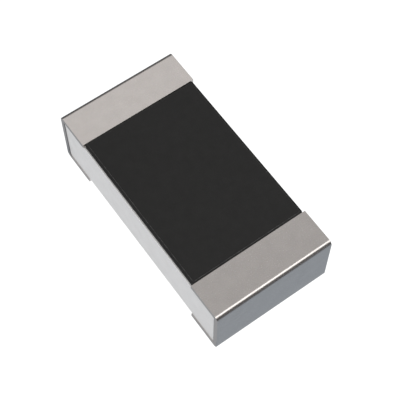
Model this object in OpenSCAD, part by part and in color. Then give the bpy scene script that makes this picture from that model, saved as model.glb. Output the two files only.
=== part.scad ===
// Thick-film chip resistor, 0603 size (1608 metric), in millimetres.
// A ceramic block carries a printed resistive film, and layers of metal wrap round both of its ends.
// The origin is the chip's centre. +X runs along the length and +Z points up through the black coat.

/* [Chip] */
// Length over the terminations
chip_l = 1.60; // [1.40:0.05:2.00]
// Width over the terminations
chip_w = 0.80; // [0.76:0.01:1.00]
// Height over the terminations
chip_h = 0.45; // [0.30:0.01:0.60]
// How far the terminations overhang each long side of the ceramic
side_overhang = 0.006; // [0.002:0.001:0.010]

/* [Terminations] */
// Length of the metal strip on the top face
strip_l = 0.25; // [0.15:0.01:0.35]
// Length of the metal foot on the bottom face
foot_l = 0.25; // [0.15:0.01:0.40]
// Thickness of the printed silver electrodes
electrode_t = 0.008; // [0.005:0.001:0.010]
// How far each top electrode runs on beneath the coat
electrode_run = 0.08; // [0.075:0.005:0.12]
// Thickness of the silver paste on the ceramic's end face
paste_t = 0.014; // [0.012:0.001:0.020]
// Thickness of the nickel barrier
nickel_t = 0.006; // [0.003:0.001:0.010]
// Thickness of the tin plating
tin_t = 0.012; // [0.008:0.001:0.016]

/* [Resistive film] */
// Width of the film
film_w = 0.60; // [0.40:0.01:0.64]
// Thickness of the film
film_t = 0.008; // [0.005:0.001:0.010]
// How far the film laps onto each top electrode
film_lap = 0.05; // [0.02:0.005:0.05]
// Width of the laser's trim cut
kerf_w = 0.03; // [0.02:0.002:0.05]
// Place of the trim cut's entry along the length, from the middle
trim_x = -0.10; // [-0.15:0.01:0.05]
// Depth of the trim cut, from the film's edge to the middle of the kerf
trim_depth = 0.24; // [0.08:0.01:0.32]
// Length of the trim cut's leg along the film
trim_leg = 0.28; // [0.05:0.01:0.30]

/* [Coats] */
// Thickness of the glass over the film
glass_t = 0.006; // [0.003:0.001:0.008]
// How far the glass reaches past the film on every side
glass_edge = 0.02; // [0.005:0.005:0.02]
// Thickness of the black coat, from the ceramic's top to its own
coat_t = 0.032; // [0.030:0.001:0.045]
// Width of bare ceramic along each side of the coat
coat_margin = 0.008; // [0.004:0.001:0.015]
// Radius of the coat's corners, seen from above
coat_corner_r = 0.012; // [0.002:0.002:0.030]

/* [Hidden] */
$fn = 48;

// Layers of one termination, outwards from the ceramic
nickel_reach = paste_t + nickel_t;
wrap_t = nickel_reach + tin_t;
plating_t = nickel_t + tin_t;
silver_w = chip_w - 2 * plating_t;

// Ceramic block that the layers leave room for
ceramic_l = chip_l - 2 * wrap_t;
ceramic_w = chip_w - 2 * side_overhang;
ceramic_h = chip_h - 2 * wrap_t;
ceramic_end = ceramic_l / 2;
ceramic_top = ceramic_h / 2;

// Inner ends of the right termination's strip and foot, and of the electrodes beneath them
strip_end = chip_l / 2 - strip_l;
foot_end = chip_l / 2 - foot_l;
electrode_end = strip_end - electrode_run;
foot_electrode_end = foot_end + plating_t;

// Film and coats
film_reach = electrode_end + film_lap;
glass_reach = film_reach + glass_edge;
glass_top = film_t + glass_t;
glass_w = film_w + 2 * glass_edge;
coat_w = ceramic_w - 2 * coat_margin;

// Spare length of a cutting shape past the face that it cuts
overcut = 0.05;

alumina = "#E4E4E2";
silver = "#C9C4BA";
nickel = "#A59F94";
tin = "#B4AFAB";
resistive_ink = "#3B2E28";
pale_glass = "#7F8F7C";
black_coat = "#2E2E2F";

// Stands a profile drawn in X and Z upright and centres its width on Y
module across(width) {
    rotate([90, 0, 0])
        linear_extrude(height = width, center = true)
            children();
}

// Turns a right-hand piece into its left-hand twin
module left_twin() {
    mirror([1, 0, 0])
        children();
}

// All that lies inside one layer of the right termination, whose outer face is "reach" off the ceramic.
// The layers outside it cover its free edges, so it stops short of the strip's and the foot's ends.
module wrap_room(reach) {
    cover = wrap_t - reach;
    outer_top = ceramic_top + reach;
    across(chip_w - 2 * cover)
        union() {
            translate([strip_end + cover, 0])
                square([ceramic_end - strip_end - cover, outer_top]);
            translate([foot_end + cover, -outer_top])
                square([ceramic_end - foot_end - cover, outer_top]);
            translate([ceramic_end, -ceramic_top])
                square([reach, ceramic_h]);
            for (edge = [-ceramic_top, ceramic_top])
                translate([ceramic_end, edge])
                    circle(r = reach);
        }
}

// Space of the ceramic, carried on past the width of the terminations
module ceramic_core() {
    across(chip_w + 2 * overcut)
        square([ceramic_l, ceramic_h], center = true);
}

// Printed electrodes of the right end. "sink" carries one on into the ceramic, to cut its seat.
module top_pad(sink = 0) {
    translate([electrode_end, -silver_w / 2, ceramic_top - sink])
        cube([ceramic_end - electrode_end, silver_w, electrode_t + sink]);
}

module bottom_pad(sink = 0) {
    translate([foot_electrode_end, -silver_w / 2, -ceramic_top - electrode_t])
        cube([ceramic_end - foot_electrode_end, silver_w, electrode_t + sink]);
}

// Layer that lies on the ceramic and climbs onto both top electrodes, "top" above what it lies on
module draped_layer(reach, top, width, sink = 0) {
    step_top = electrode_t + top;
    right_side = [
        [electrode_end, -sink],
        [electrode_end, electrode_t - sink],
        [reach, electrode_t - sink],
        [reach, step_top],
        [electrode_end, step_top],
        [electrode_end - step_top, top]
    ];
    left_side = [for (i = [len(right_side) - 1 : -1 : 0]) [-right_side[i].x, right_side[i].y]];
    translate([0, 0, ceramic_top])
        across(width)
            polygon(concat(right_side, left_side));
}

// L-shaped laser cut in from the film's front edge, with the round ends that the beam leaves
module trim_cut() {
    corner_y = -film_w / 2 + trim_depth;
    entry_y = -glass_w / 2 - overcut;
    linear_extrude(height = chip_h)
        union() {
            translate([trim_x - kerf_w / 2, entry_y])
                square([kerf_w, corner_y - entry_y]);
            translate([trim_x, corner_y - kerf_w / 2])
                square([trim_leg, kerf_w]);
            for (turn_x = [trim_x, trim_x + trim_leg])
                translate([turn_x, corner_y])
                    circle(d = kerf_w);
        }
}

// All that lies inside the coat, down to the ceramic
module glass_room(sink = 0) {
    difference() {
        draped_layer(glass_reach, glass_top, glass_w, sink);
        trim_cut();
    }
}

// Outline of the coat from above, between the two strips
module coat_outline() {
    long_half = strip_end - coat_corner_r;
    wide_half = coat_w / 2 - coat_corner_r;
    square([2 * strip_end, 2 * wide_half], center = true);
    square([2 * long_half, coat_w], center = true);
    for (x = [-long_half, long_half], y = [-wide_half, wide_half])
        translate([x, y])
            circle(r = coat_corner_r);
}

module ceramic_substrate() {
    color(alumina)
        cube([ceramic_l, ceramic_w, ceramic_h], center = true);
}

module top_electrode_right() {
    color(silver)
        top_pad();
}

module top_electrode_left() {
    left_twin()
        top_electrode_right();
}

module bottom_electrode_right() {
    color(silver)
        bottom_pad();
}

module bottom_electrode_left() {
    left_twin()
        bottom_electrode_right();
}

module resistive_film() {
    color(resistive_ink)
        difference() {
            draped_layer(film_reach, film_t, film_w);
            trim_cut();
        }
}

module glass_passivation() {
    color(pale_glass)
        difference() {
            glass_room();
            draped_layer(film_reach, film_t, film_w, overcut);
        }
}

// The coat fills the trim cut and seals the film, the glass and the electrodes' inner ends
module protective_overcoat() {
    color(black_coat)
        difference() {
            translate([0, 0, ceramic_top])
                linear_extrude(height = coat_t)
                    coat_outline();
            glass_room(overcut);
            top_pad(overcut);
            left_twin()
                top_pad(overcut);
        }
}

// Silver paste over the ceramic's end, lapping onto the printed electrodes above and below
module end_electrode_right() {
    color(silver)
        difference() {
            wrap_room(paste_t);
            ceramic_core();
            top_pad(overcut);
            bottom_pad(overcut);
        }
}

module end_electrode_left() {
    left_twin()
        end_electrode_right();
}

module nickel_barrier_right() {
    color(nickel)
        difference() {
            wrap_room(nickel_reach);
            wrap_room(paste_t);
            ceramic_core();
            top_pad(overcut);
        }
}

module nickel_barrier_left() {
    left_twin()
        nickel_barrier_right();
}

module tin_plating_right() {
    color(tin)
        difference() {
            wrap_room(wrap_t);
            wrap_room(nickel_reach);
            ceramic_core();
            top_pad(overcut);
        }
}

module tin_plating_left() {
    left_twin()
        tin_plating_right();
}

ceramic_substrate();
top_electrode_left();
top_electrode_right();
bottom_electrode_left();
bottom_electrode_right();
resistive_film();
glass_passivation();
protective_overcoat();
end_electrode_left();
end_electrode_right();
nickel_barrier_left();
nickel_barrier_right();
tin_plating_left();
tin_plating_right();
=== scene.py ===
"""Looks of a thick-film chip resistor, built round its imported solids.

The scene is in metres, in the part's own frame. The meshes are drawn in micrometres and scaled down once.
"""
import math

import bmesh
import bpy
from mathutils import Matrix, Vector, noise


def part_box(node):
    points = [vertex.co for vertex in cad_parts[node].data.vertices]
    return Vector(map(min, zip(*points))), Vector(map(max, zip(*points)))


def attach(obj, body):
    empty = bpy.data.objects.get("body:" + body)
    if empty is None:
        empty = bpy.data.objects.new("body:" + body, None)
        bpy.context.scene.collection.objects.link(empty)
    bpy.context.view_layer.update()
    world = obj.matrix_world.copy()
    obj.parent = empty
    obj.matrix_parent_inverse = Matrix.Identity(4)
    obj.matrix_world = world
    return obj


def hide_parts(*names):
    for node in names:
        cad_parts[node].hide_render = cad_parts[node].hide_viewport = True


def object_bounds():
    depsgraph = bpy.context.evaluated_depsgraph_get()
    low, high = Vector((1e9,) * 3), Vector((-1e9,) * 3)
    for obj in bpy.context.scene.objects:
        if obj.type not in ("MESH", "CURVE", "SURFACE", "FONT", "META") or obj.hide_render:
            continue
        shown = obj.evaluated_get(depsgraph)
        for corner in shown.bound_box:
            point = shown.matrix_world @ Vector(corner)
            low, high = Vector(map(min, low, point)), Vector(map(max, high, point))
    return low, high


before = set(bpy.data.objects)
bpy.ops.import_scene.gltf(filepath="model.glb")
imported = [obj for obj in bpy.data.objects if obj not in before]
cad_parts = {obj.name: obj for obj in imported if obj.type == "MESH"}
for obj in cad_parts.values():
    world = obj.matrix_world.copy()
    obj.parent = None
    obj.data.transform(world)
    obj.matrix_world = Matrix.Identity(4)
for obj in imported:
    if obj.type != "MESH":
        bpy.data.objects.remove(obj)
cad_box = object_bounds()

MM = 1e-3
MICRO = 1e-6
BODY = "root"

# Edges of the meshes, in micrometres, and the number of steps that round them
TIN_EDGE_R = 1.2
TIN_JOINT_R = 0.3
COAT_EDGE_R = 0.8
CERAMIC_EDGE_R = 1.4
EDGE_STEPS = 4
CERAMIC_STEPS = 3
BEND_STEPS = 18

# Ledge round the coat's upper print, which is a little smaller than the lower one, in micrometres
LEDGE_W = 12.0
PRINT_STEP_W = 0.6
PRINT_STEP_H = 1.8

# Nicks along the ceramic's long edges, in micrometres: they fade out before they reach the metal
NICK_DEPTH = 3.2
NICK_SPACING = 11.0
NICK_CLEARANCE = 12.0
NICK_FADE = 30.0
LONG_NICK = 26.0
SHORT_NICK = 9.0

# How much the long and the short nicks count
LONG_SHARE = 0.7
SHORT_SHARE = 0.5

# An edge over the first angle stays sharp, and faces within the second angle are one flat face
SHARP = math.radians(35)
FLAT = math.radians(1)

# Distances that count as none, in micrometres
MERGE = 0.02
DEGENERATE = 0.01
NEAR = 0.1

# Levels between which most of a noise lies
LOW, HIGH = 0.30, 0.70


def micro_box(node):
    """Lowest and highest corner of a CAD node, in micrometres."""
    lo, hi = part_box(node)
    return lo / MICRO, hi / MICRO


def shade(colour, factor):
    return tuple(c * factor for c in colour)


def grey(level):
    return (level, level, level)


# Nodes and links of the procedural materials


class Nodes:
    """Short names for the nodes of one tree, with a place in space to start from."""

    def __init__(self, tree, place="Object"):
        self.tree = tree
        self.place = tree.nodes.new("ShaderNodeTexCoord").outputs[place]

    def node(self, kind, **values):
        made = self.tree.nodes.new(kind)
        for name, value in values.items():
            setattr(made, name, value)
        return made

    def join(self, source, target):
        self.tree.links.new(source, target)

    def axis(self, name):
        split = self.node("ShaderNodeSeparateXYZ")
        self.join(self.place, split.inputs[0])
        return split.outputs[name]

    def past(self, axis, limit):
        """How far a point lies past the limit on either side of an axis, and below zero within it."""
        return self.math("SUBTRACT", self.math("ABSOLUTE", self.axis(axis)), limit)

    def remap(self, value, low, high, new_low, new_high, smooth=False):
        made = self.node("ShaderNodeMapRange")
        made.interpolation_type = "SMOOTHSTEP" if smooth else "LINEAR"
        ends = {"From Min": low, "From Max": high, "To Min": new_low, "To Max": new_high}
        for name, number in ends.items():
            made.inputs[name].default_value = number
        self.join(value, made.inputs["Value"])
        return made.outputs["Result"]

    def fade(self, value, start, end):
        """Rises softly from 0 to 1 as the value goes from start to end."""
        return self.remap(value, start, end, 0.0, 1.0, smooth=True)

    def math(self, operation, a, b=None):
        made = self.node("ShaderNodeMath", operation=operation)
        for slot, value in enumerate((a, b)):
            if isinstance(value, (int, float)):
                made.inputs[slot].default_value = value
            elif value is not None:
                self.join(value, made.inputs[slot])
        return made.outputs[0]

    def ramp(self, value, *stops):
        made = self.node("ShaderNodeValToRGB")
        points = made.color_ramp.elements
        while len(points) < len(stops):
            points.new(0.5)
        for point, (position, colour) in zip(points, stops):
            point.position = position
            point.color = (*colour, 1.0)
        self.join(value, made.inputs["Fac"])
        return made.outputs["Color"]

    def mix(self, share, a, b, blend="MIX"):
        made = self.node("ShaderNodeMix", data_type="RGBA", blend_type=blend)
        for name, value in (("Factor", share), ("A", a), ("B", b)):
            slot = next(i for i in made.inputs if i.name == name and i.enabled)
            if isinstance(value, (int, float)):
                slot.default_value = value
            elif isinstance(value, tuple):
                slot.default_value = (*value, 1.0)
            else:
                self.join(value, slot)
        return next(o for o in made.outputs if o.enabled)


class Surface(Nodes):
    """A principled material whose noise is laid out in micrometres."""

    def __init__(self, name):
        self.material = bpy.data.materials.new(name)
        self.material.use_nodes = True
        super().__init__(self.material.node_tree)
        self.shader = self.tree.nodes["Principled BSDF"]

    def set(self, **values):
        for name, value in values.items():
            self.shader.inputs[name].default_value = value

    def spread(self, size, shift=0.0):
        """Coordinates in which one unit is that many micrometres, on each axis or on all three."""
        sizes = size if isinstance(size, tuple) else (size,) * 3
        mapping = self.node("ShaderNodeMapping")
        mapping.inputs["Scale"].default_value = [1 / (s * MICRO) for s in sizes]
        mapping.inputs["Location"].default_value = (shift, 0.7 * shift, 1.3 * shift)
        self.join(self.place, mapping.inputs["Vector"])
        return mapping.outputs["Vector"]

    def clouds(self, size, detail=2.0, roughness=0.5, shift=0.0):
        tex = self.node("ShaderNodeTexNoise")
        tex.inputs["Scale"].default_value = 1.0
        tex.inputs["Detail"].default_value = detail
        tex.inputs["Roughness"].default_value = roughness
        self.join(self.spread(size, shift), tex.inputs["Vector"])
        return tex.outputs["Fac"]

    def cells(self, size, feature="F1", output="Color"):
        tex = self.node("ShaderNodeTexVoronoi", feature=feature)
        tex.inputs["Scale"].default_value = 1.0
        self.join(self.spread(size), tex.inputs["Vector"])
        return tex.outputs[output]

    def mottle(self, source, base, dark, light):
        """The base colour, made darker where a noise is low and lighter where it is high."""
        return self.ramp(source, (LOW, shade(base, dark)), (HIGH, shade(base, light)))

    def vary(self, source, low, high):
        """A number that follows a noise from low to high."""
        return self.remap(source, LOW, HIGH, low, high)

    def colour(self, source):
        self.join(source, self.shader.inputs["Base Color"])

    def roughness(self, source):
        self.join(source, self.shader.inputs["Roughness"])

    def relief(self, *layers):
        """Bumps, each of a height socket and how high it stands in micrometres."""
        normal = None
        for height, depth in layers:
            bump = self.node("ShaderNodeBump")
            bump.inputs["Strength"].default_value = 1.0
            bump.inputs["Distance"].default_value = depth * MICRO
            self.join(height, bump.inputs["Height"])
            if normal is not None:
                self.join(normal, bump.inputs["Normal"])
            normal = bump.outputs["Normal"]
        self.join(normal, self.shader.inputs["Normal"])


def tin_surface():
    """Matte tin: fine crystals and faint clouds, rougher on its flanks, with painted shade on its flanks and
    where it meets the ceramic.
    """
    s = Surface("tin_matte")
    s.set(Metallic=1.0)
    base = (0.645, 0.615, 0.600)
    # Painted shade: the darker, cooler tone of the flanks
    painted_flank_shade = (0.318, 0.312, 0.318)
    # Painted shade: the dark line along the tin where it meets the ceramic
    painted_border_shade = (0.216, 0.212, 0.216)
    crystal_share = 0.02
    cloud = s.clouds(size=70, detail=3)
    tone = s.mottle(cloud, base, dark=0.965, light=1.03)
    tone = s.mix(crystal_share, tone, s.cells(size=7), "OVERLAY")

    # The flanks are the narrow faces of the wrap, along the chip's long sides; their darker, cooler tone is
    # painted shade
    flank = s.fade(s.past("Y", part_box("tin_plating_right")[1].y), -1.0 * MICRO, -0.1 * MICRO)
    tone = s.mix(flank, tone, painted_flank_shade)

    # The painted shade of the dark border runs up the ceramic's ends and stops short of the strip and the
    # foot
    border_w = 4 * MICRO
    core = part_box("ceramic_substrate")[1]
    off_end = s.past("X", core.x)
    off_leg = s.math("ADD", s.past("Z", core.z), border_w)
    clear = s.fade(s.math("MAXIMUM", off_end, off_leg), 0.5 * MICRO, border_w)
    s.colour(s.mix(clear, painted_border_shade, tone))

    fine = s.clouds(size=5, detail=2, shift=3)
    flank_dullness = s.math("MULTIPLY", flank, 0.12)
    s.roughness(s.math("ADD", s.vary(fine, 0.25, 0.275), flank_dullness))
    s.relief((fine, 0.005), (cloud, 0.06))
    return s.material


def alumina_surface():
    """Fired alumina: pale grains, a painted highlight along its long edges, and the streaks of scribing down
    its long sides.
    """
    s = Surface("alumina_fired")
    s.set(Metallic=0.0, IOR=1.6)
    base = (0.900, 0.902, 0.912)
    # Painted highlight: the paler tone along the long edges
    painted_highlight_tone = (0.975, 0.975, 0.978)
    grain = s.clouds(size=5, detail=3, roughness=0.6)
    cloud = s.clouds(size=90, detail=2, shift=5)
    tone = s.mottle(cloud, base, dark=0.97, light=1.03)
    grains = s.ramp(grain, (LOW, grey(0.93)), (0.62, grey(1.0)))
    tone = s.mix(1.0, tone, grains, "MULTIPLY")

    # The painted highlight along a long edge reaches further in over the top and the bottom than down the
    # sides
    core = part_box("ceramic_substrate")[1]
    over_top = s.math("MULTIPLY", s.past("Y", core.y), 0.4)
    highlight_band = s.fade(s.math("MINIMUM", over_top, s.past("Z", core.z)), -5 * MICRO, -2 * MICRO)
    s.colour(s.mix(highlight_band, tone, painted_highlight_tone))

    s.roughness(s.vary(grain, 0.50, 0.66))
    streak = s.clouds(size=(6, 6, 90), detail=2, shift=9)
    s.relief((grain, 0.30), (streak, 0.20))
    return s.material


def coat_surface():
    """Black epoxy coat: matte and slightly uneven, with filler in pale and dark points.

    Its side walls are rougher and carry painted shade, and the edge of its upper print carries patches of
    painted highlight.
    """
    s = Surface("overcoat_black")
    s.set(Metallic=0.0, IOR=1.42)
    base = grey(0.0134)
    # Painted highlight: the paler tone along the upper print's edge
    print_edge_highlight_tone = grey(0.26)
    cloud = s.clouds(size=60, detail=4, roughness=0.6)
    filler = s.clouds(size=3.5, detail=2, shift=4)
    tone = s.mottle(cloud, base, dark=0.86, light=1.14)
    points = s.ramp(filler, (LOW, grey(0.70)), (0.52, grey(1.0)), (0.72, grey(1.5)))
    tone = s.mix(1.0, tone, points, "MULTIPLY")
    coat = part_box("protective_overcoat")[1]
    past_end, past_side = s.past("X", coat.x), s.past("Y", coat.y)
    # Painted shade: the side walls are darker than the top
    wall = s.fade(past_side, -1.2 * MICRO, -0.2 * MICRO)
    tone = s.mix(wall, tone, shade(base, 0.5))

    # The upper print's edge, painted as a patchy highlight, is found by how far it lies inside the nearest
    # edge of the coat
    half_w = PRINT_STEP_W * MICRO / 2
    blur = 0.3 * MICRO
    past_step = s.math("ADD", s.math("MAXIMUM", past_end, past_side), LEDGE_W * MICRO + half_w)
    on_step = s.fade(s.math("ABSOLUTE", past_step), half_w + blur, half_w)
    patchy = s.vary(s.clouds(size=24, detail=2, shift=12), 0.25, 1.0)
    s.colour(s.mix(s.math("MULTIPLY", on_step, patchy), tone, print_edge_highlight_tone))

    wall_dullness = s.math("MULTIPLY", wall, 0.3)
    s.roughness(s.math("ADD", s.vary(filler, 0.52, 0.68), wall_dullness))
    peel = s.clouds(size=22, detail=1, shift=8)
    s.relief((peel, 0.25), (filler, 0.12))
    return s.material


def silver_surface():
    """Fired silver paste, with the weave of its printing screen and small pores."""
    s = Surface("silver_printed")
    s.set(Metallic=1.0)
    base = (0.70, 0.67, 0.61)
    weave = s.cells((22, 22, 40), "DISTANCE_TO_EDGE", "Distance")
    pore = s.clouds(size=4, detail=3)
    s.colour(s.ramp(pore, (0.28, shade(base, 0.70)), (0.45, base), (0.75, shade(base, 1.08))))
    s.roughness(s.vary(pore, 0.38, 0.55))
    s.relief((weave, 0.4), (pore, 0.3))
    return s.material


def nickel_surface():
    """Plated nickel, warmer than the tin over it, in fine nodules."""
    s = Surface("nickel_satin")
    s.set(Metallic=1.0)
    base = (0.56, 0.52, 0.46)
    cloud = s.clouds(size=40, detail=3)
    nodule = s.cells(5, "SMOOTH_F1", "Distance")
    s.colour(s.mottle(cloud, base, dark=0.94, light=1.05))
    s.roughness(s.remap(nodule, 0.0, 0.8, 0.20, 0.32))
    s.relief((nodule, 0.15))
    return s.material


def film_surface():
    """Fired resistive ink: dark brown oxide in glass, with conducting grains."""
    s = Surface("resistive_ink_fired")
    s.set(Metallic=0.0, IOR=1.6)
    grain = s.clouds(size=3, detail=4, roughness=0.65)
    cloud = s.clouds(size=45, detail=2, shift=6)
    tone = s.ramp(cloud, (LOW, (0.030, 0.021, 0.016)), (HIGH, (0.048, 0.034, 0.026)))
    grains = s.ramp(grain, (0.35, grey(0.6)), (HIGH, grey(1.3)))
    s.colour(s.mix(1.0, tone, grains, "MULTIPLY"))
    s.roughness(s.vary(grain, 0.30, 0.46))
    s.relief((grain, 0.15), (cloud, 0.3))
    return s.material


def glass_surface():
    """Thin green-grey passivation glass, glossy, with tiny bubbles."""
    s = Surface("film_glass_fired")
    s.set(Metallic=0.0, IOR=1.52)
    bubble = s.cells(9, "F1", "Distance")
    cloud = s.clouds(size=50, detail=2, shift=2)
    tone = s.ramp(cloud, (LOW, (0.17, 0.23, 0.17)), (HIGH, (0.22, 0.28, 0.21)))
    rims = s.ramp(bubble, (0.10, grey(1.25)), (0.22, grey(1.0)))
    s.colour(s.mix(1.0, tone, rims, "MULTIPLY"))
    s.roughness(s.vary(cloud, 0.08, 0.18))
    s.relief((cloud, 0.25), (bubble, 0.05))
    return s.material


# Meshes of the pieces that show


def finish_piece(bm, name, material, slot, *stands_for):
    """Turns a mesh drawn in micrometres into a piece that stands for CAD nodes, with flat faces kept flat."""
    bmesh.ops.recalc_face_normals(bm, faces=bm.faces)
    for face in bm.faces:
        face.smooth = True
    for edge in bm.edges:
        edge.smooth = edge.is_manifold and edge.calc_face_angle() < SHARP
    drawn = bpy.data.meshes.new(name + "_drawn")
    bm.to_mesh(drawn)
    bm.free()
    piece = bpy.data.objects.new(name, drawn)
    bpy.context.scene.collection.objects.link(piece)
    flat = piece.modifiers.new("flat_faces", "WEIGHTED_NORMAL")
    flat.keep_sharp = True
    graph = bpy.context.evaluated_depsgraph_get()
    shaped = piece.evaluated_get(graph)
    mesh = bpy.data.meshes.new_from_object(shaped, preserve_all_data_layers=True, depsgraph=graph)
    piece.modifiers.clear()
    piece.data = mesh
    bpy.data.meshes.remove(drawn)
    mesh.name = name
    mesh.transform(Matrix.Scale(MICRO, 4))
    mesh.materials.clear()
    mesh.materials.append(material)
    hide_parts(*stands_for)
    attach(piece, BODY)


def quarter(steps):
    """Angles of a quarter turn."""
    return [math.pi / 2 * i / steps for i in range(steps + 1)]


def tin_mesh(side):
    """Tin skin of one end: a channel bent round the ceramic, closed over the edges of the nickel inside it.

    A point of its section is (y, d), with d measured out from the ceramic's face.
    """
    core = micro_box("ceramic_substrate")[1]
    tin = micro_box("tin_plating_right")[1]
    nickel = micro_box("nickel_barrier_right")[1]
    pad_lo, pad = micro_box("top_electrode_right")
    foot_pad = micro_box("bottom_electrode_right")[0]
    wrap, pocket = tin.z - core.z, nickel.z - core.z
    wall, pad_t = wrap - pocket, pad.z - pad_lo.z
    strip_end = micro_box("protective_overcoat")[1].x
    foot_end = foot_pad.x - (tin.y - pad.y)

    def outside(inset):
        """Outer line of the section, drawn in by the rounding of a free end."""
        line = [(-nickel.y, 0.0), (inset - tin.y, 0.0)]
        for sign, angles in ((-1, quarter(EDGE_STEPS)), (1, quarter(EDGE_STEPS)[::-1])):
            for a in angles:
                r = TIN_EDGE_R - inset
                y = sign * (tin.y - TIN_EDGE_R + r * math.cos(a))
                line.append((y, wrap - TIN_EDGE_R + r * math.sin(a)))
        return line + [(tin.y - inset, 0.0), (nickel.y, 0.0)]

    channel = [(nickel.y, 0.0), (nickel.y, pocket), (-nickel.y, pocket), (-nickel.y, 0.0)]
    notch = [(nickel.y, 0.0), (pad.y, 0.0), (pad.y, pad_t), (-pad.y, pad_t), (-pad.y, 0.0), (-nickel.y, 0.0)]
    level = [(nickel.y, 0.0), (-nickel.y, 0.0)]

    # Each station is a point on the ceramic, the way out from it, and how far the section is drawn in
    up, down = (0.0, 1.0), (0.0, -1.0)

    def tip(end, z, out, r):
        """Stations that round a free end."""
        return [((end + r * (1 - math.cos(a)), z), out, r * (1 - math.sin(a))) for a in quarter(EDGE_STEPS)]

    strip_tip = tip(strip_end, core.z, up, TIN_JOINT_R)
    foot_tip = tip(foot_end, -core.z, down, TIN_EDGE_R)
    strip_wall = ((strip_end + wall, core.z), up, 0.0)
    foot_wall = ((foot_end + wall, -core.z), down, 0.0)
    top_bend = [((core.x, core.z), (math.sin(a), math.cos(a)), 0.0) for a in quarter(BEND_STEPS)]
    low_bend = [((core.x, -core.z), (math.cos(a), -math.sin(a)), 0.0) for a in quarter(BEND_STEPS)]
    strip_block = strip_tip + [strip_wall]
    foot_block = foot_tip + [foot_wall]
    run = [strip_wall] + top_bend + low_bend + [foot_wall]

    bm = bmesh.new()

    def points(station, line):
        (x, z), (nx, nz), _ = station
        return [bm.verts.new((side * (x + d * nx), y, z + d * nz)) for y, d in line]

    def skin(stations, line_of):
        rows = [points(s, line_of(s)) for s in stations]
        for a, b in zip(rows, rows[1:]):
            for i in range(len(a) - 1):
                bm.faces.new((a[i], a[i + 1], b[i + 1], b[i]))

    skin(strip_block + run[1:-1] + foot_block[::-1], lambda s: outside(s[2]))
    skin(run, lambda s: channel)
    skin(strip_block, lambda s: notch)
    skin(foot_block, lambda s: level)
    bm.faces.new(points(strip_wall, channel + notch[::-1][1:-1]))
    bm.faces.new(points(foot_wall, channel))
    bm.faces.new(points(strip_tip[0], outside(TIN_JOINT_R) + notch[1:-1]))
    bm.faces.new(points(foot_tip[0], outside(TIN_EDGE_R)))
    bmesh.ops.remove_doubles(bm, verts=bm.verts, dist=MERGE)
    bmesh.ops.dissolve_degenerate(bm, edges=bm.edges, dist=DEGENERATE)
    return bm


def unit_noise(*place):
    """Noise from 0 to 1."""
    return 0.5 + 0.5 * noise.noise(Vector(place))


def ceramic_mesh():
    """Alumina block whose four long edges carry the small nicks of snapping it off a scribed sheet."""
    lo, hi = micro_box("ceramic_substrate")
    bare_end = micro_box("protective_overcoat")[1].x - NICK_CLEARANCE
    count = round((hi.x - lo.x) / NICK_SPACING)
    corners = ((1, 1), (-1, 1), (-1, -1), (1, -1))
    bm = bmesh.new()
    rows = []
    for i in range(count + 1):
        x = lo.x + (hi.x - lo.x) * i / count
        shown = min(1.0, max(0.0, (bare_end - abs(x)) / NICK_FADE))
        row = []
        for k, (sy, sz) in enumerate(corners):
            # Each edge has its own row in two slices of the noise
            long_nick = unit_noise(x / LONG_NICK, 7.0 * k, 0.3)
            short_nick = unit_noise(x / SHORT_NICK, 5.0 * k, 4.1)
            depth = NICK_DEPTH * (LONG_SHARE * long_nick + SHORT_SHARE * short_nick) ** 2
            r = CERAMIC_EDGE_R + shown * depth
            turn = quarter(CERAMIC_STEPS) if sy * sz > 0 else quarter(CERAMIC_STEPS)[::-1]
            for a in turn:
                y = sy * (hi.y - r + r * math.cos(a))
                z = sz * (hi.z - r + r * math.sin(a))
                row.append(bm.verts.new((x, y, z)))
        rows.append(row)
    for a, b in zip(rows, rows[1:]):
        for i in range(len(a)):
            j = (i + 1) % len(a)
            bm.faces.new((a[i], a[j], b[j], b[i]))
    bm.faces.new(rows[0])
    bm.faces.new(rows[-1])
    return bm


def clamp(value, limit):
    return max(-limit, min(limit, value))


def coat_mesh():
    """The CAD coat as two prints: a soft free edge, a narrow ledge and a low step up to the smaller print."""
    bm = bmesh.new()
    bm.from_mesh(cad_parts["protective_overcoat"].data)
    bmesh.ops.scale(bm, vec=(1 / MICRO,) * 3, verts=bm.verts)
    bmesh.ops.remove_doubles(bm, verts=bm.verts, dist=MERGE)
    bmesh.ops.dissolve_limit(bm, angle_limit=FLAT, verts=bm.verts, edges=bm.edges)
    joint, side, top = (max(v.co[axis] for v in bm.verts) for axis in range(3))
    ledge_z = top - PRINT_STEP_H

    # The ledge is the first ring inside the outline, and the rings after it climb to the top in a soft curve
    lid = max(bm.faces, key=lambda face: face.calc_center_median().z)
    outline = list(lid.verts)
    bmesh.ops.delete(bm, geom=[lid], context="FACES_ONLY")
    for vert in outline:
        vert.co.z = ledge_z
    ring = outline
    for a in quarter(EDGE_STEPS):
        share = 2 * a / math.pi
        inset = LEDGE_W + PRINT_STEP_W * share
        z = ledge_z + PRINT_STEP_H * math.sin(a) ** 2
        corners = [(clamp(v.co.x, joint - inset), clamp(v.co.y, side - inset), z) for v in outline]
        inner = [bm.verts.new(corner) for corner in corners]
        for i in range(len(ring)):
            j = (i + 1) % len(ring)
            bm.faces.new((ring[i], ring[j], inner[j], inner[i]))
        ring = inner
    bm.faces.new(ring)
    bmesh.ops.remove_doubles(bm, verts=bm.verts, dist=MERGE)

    def free(edge):
        """Whether an edge lies round the ledge's outside, away from the strips."""
        off_joint = any(abs(v.co.x) < joint - NEAR for v in edge.verts)
        return off_joint and all(v in outline for v in edge.verts)

    bmesh.ops.bevel(bm, geom=[e for e in bm.edges if free(e)], offset=COAT_EDGE_R, offset_type="OFFSET",
                    segments=EDGE_STEPS, profile=0.5, affect="EDGES", clamp_overlap=True)
    return bm


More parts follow.
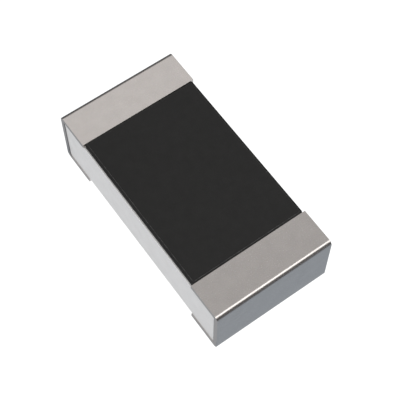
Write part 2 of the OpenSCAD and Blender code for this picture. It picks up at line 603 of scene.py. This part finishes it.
tin = tin_surface()
finish_piece(tin_mesh(-1), "tin_skin_left", tin, "tin", "tin_plating_left")
finish_piece(tin_mesh(1), "tin_skin_right", tin, "tin", "tin_plating_right")
finish_piece(ceramic_mesh(), "alumina_block", alumina_surface(), "alumina", "ceramic_substrate")
finish_piece(coat_mesh(), "overcoat_black", coat_surface(), "black_coat", "protective_overcoat")

# Layers sealed inside the chip keep their CAD solids
silver = silver_surface()
nickel = nickel_surface()
SEALED = {
    "top_electrode": silver,
    "bottom_electrode": silver,
    "end_electrode": silver,
    "nickel_barrier": nickel,
    "resistive_film": film_surface(),
    "glass_passivation": glass_surface(),
}
for node_name, cad_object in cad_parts.items():
    for layer, material in SEALED.items():
        if node_name.startswith(layer):
            cad_object.data.materials.clear()
            cad_object.data.materials.append(material)


# Studio: a white floor, a dim dome with a light wall along each side, and soft boxes


def seen_white(nodes, light, output):
    """Shows plain white to the camera, and the given light to everything else."""
    # A little over full white, so that it stays clean right into the picture's corners
    white_level = 1.12
    white = nodes.node("ShaderNodeEmission")
    white.inputs["Color"].default_value = (1, 1, 1, 1)
    white.inputs["Strength"].default_value = white_level
    path = nodes.node("ShaderNodeLightPath")
    mix = nodes.node("ShaderNodeMixShader")
    nodes.join(path.outputs["Is Camera Ray"], mix.inputs["Fac"])
    nodes.join(light, mix.inputs[1])
    nodes.join(white.outputs[0], mix.inputs[2])
    nodes.join(mix.outputs[0], nodes.node(output).inputs["Surface"])


def floor():
    """A light table, pale along the chip's sides, dim and cool at its ends and shaded past them."""
    half = 40 * MM
    gap = 0.1 * MICRO
    z = cad_box[0].z - gap
    pale = (0.72, 0.73, 0.74)
    dim = (0.36, 0.396, 0.432)
    shaded = (0.09, 0.09, 0.093)
    mesh = bpy.data.meshes.new("floor")
    corners = [(-half, -half, z), (half, -half, z), (half, half, z), (-half, half, z)]
    mesh.from_pydata(corners, [], [(0, 1, 2, 3)])
    plane = bpy.data.objects.new("floor", mesh)
    bpy.context.scene.collection.objects.link(plane)
    material = bpy.data.materials.new("floor_white")
    material.use_nodes = True
    material.node_tree.nodes.clear()
    nodes = Nodes(material.node_tree)
    past_end = nodes.past("X", cad_box[1].x)
    at_end = nodes.fade(past_end, -0.03 * MM, 0.02 * MM)
    far_off = nodes.fade(past_end, 0.70 * MM, 1.15 * MM)
    behind_front = nodes.fade(nodes.axis("Y"), -0.50 * MM, -0.41 * MM)
    before_rear = nodes.remap(nodes.axis("Y"), 2.5 * MM, 4.0 * MM, 1.0, 0.0, smooth=True)
    in_zone = nodes.math("MULTIPLY", at_end, nodes.math("MULTIPLY", behind_front, before_rear))
    zone_tone = nodes.mix(far_off, dim, shaded)
    glow = nodes.node("ShaderNodeEmission")
    nodes.join(nodes.mix(in_zone, pale, zone_tone), glow.inputs["Color"])
    seen_white(nodes, glow.outputs[0], "ShaderNodeOutputMaterial")
    mesh.materials.append(material)


def dome():
    """As light it is dim at the horizon past the ends, brighter overhead, and brightest along the sides."""
    world = bpy.data.worlds.new("studio")
    world.use_nodes = True
    bpy.context.scene.world = world
    world.node_tree.nodes.clear()
    nodes = Nodes(world.node_tree, "Generated")
    height = nodes.axis("Z")
    levels_by_height = ((0.0, 0.10), (0.40, 0.10), (0.75, 0.38), (1.0, 0.57))
    sky = nodes.ramp(height, *((place, grey(level)) for place, level in levels_by_height))
    along_sides = nodes.fade(nodes.math("ABSOLUTE", nodes.axis("Y")), 0.42, 0.78)
    wall_level = nodes.remap(height, 0.15, 0.65, 0.75, 1.10, smooth=True)
    walls = nodes.math("MULTIPLY", along_sides, wall_level)
    light = nodes.node("ShaderNodeBackground")
    light.inputs["Color"].default_value = (1.0, 0.985, 0.97, 1.0)
    nodes.join(nodes.math("MAXIMUM", sky, walls), light.inputs["Strength"])
    seen_white(nodes, light.outputs[0], "ShaderNodeOutputWorld")


def soft_box(name, azimuth, elevation, width, height, level, colour, distance=16 * MM):
    """Area light aimed at the chip. Azimuth 0 is +X and 90 is +Y; level is the brightness of its face."""
    data = bpy.data.lights.new(name, "AREA")
    data.shape = "RECTANGLE"
    data.size, data.size_y = width, height
    data.energy = level * math.pi * width * height
    data.color = colour
    box = bpy.data.objects.new(name, data)
    a, e = math.radians(azimuth), math.radians(elevation)
    way = Vector((math.cos(a) * math.cos(e), math.sin(a) * math.cos(e), math.sin(e)))
    box.location = way * distance
    box.rotation_mode = "QUATERNION"
    box.rotation_quaternion = way.to_track_quat("Z", "Y")
    bpy.context.scene.collection.objects.link(box)


def camera():
    """The photograph's viewpoint, fitted to the chip's edges and aimed near the middle of its underside."""
    azimuth, elevation = math.radians(54.410), math.radians(62.768)
    distance, across, upward = 6.7182 * MM, 0.04592 * MM, 0.07584 * MM
    level_part = math.cos(elevation)
    back = Vector((math.sin(azimuth) * level_part, -math.cos(azimuth) * level_part, math.sin(elevation)))
    right = Vector((math.cos(azimuth), math.sin(azimuth), 0))
    up = back.cross(right)
    data = bpy.data.cameras.new("camera")
    data.sensor_width = 36.0
    data.lens = 97.947
    data.clip_start, data.clip_end = 0.1 * MM, 1000 * MM
    eye = bpy.data.objects.new("camera", data)
    place = Matrix((right, up, back)).transposed().to_4x4()
    underside = Vector((0, 0, cad_box[0].z))
    place.translation = underside + back * distance + right * across + up * upward
    eye.matrix_world = place
    bpy.context.scene.collection.objects.link(eye)
    bpy.context.scene.camera = eye


floor()
dome()
soft_box("back_box", azimuth=168, elevation=53.5, width=16 * MM, height=5.8 * MM, level=0.44,
         colour=(1.0, 0.972, 0.95))
soft_box("end_box", azimuth=18, elevation=56.5, width=14 * MM, height=7.0 * MM, level=1.75,
         colour=(1.0, 0.985, 0.97))
camera()
view = bpy.context.scene.view_settings
view.view_transform = "Standard"
view.look = "None"
view.exposure = 0.0
view.gamma = 1.0
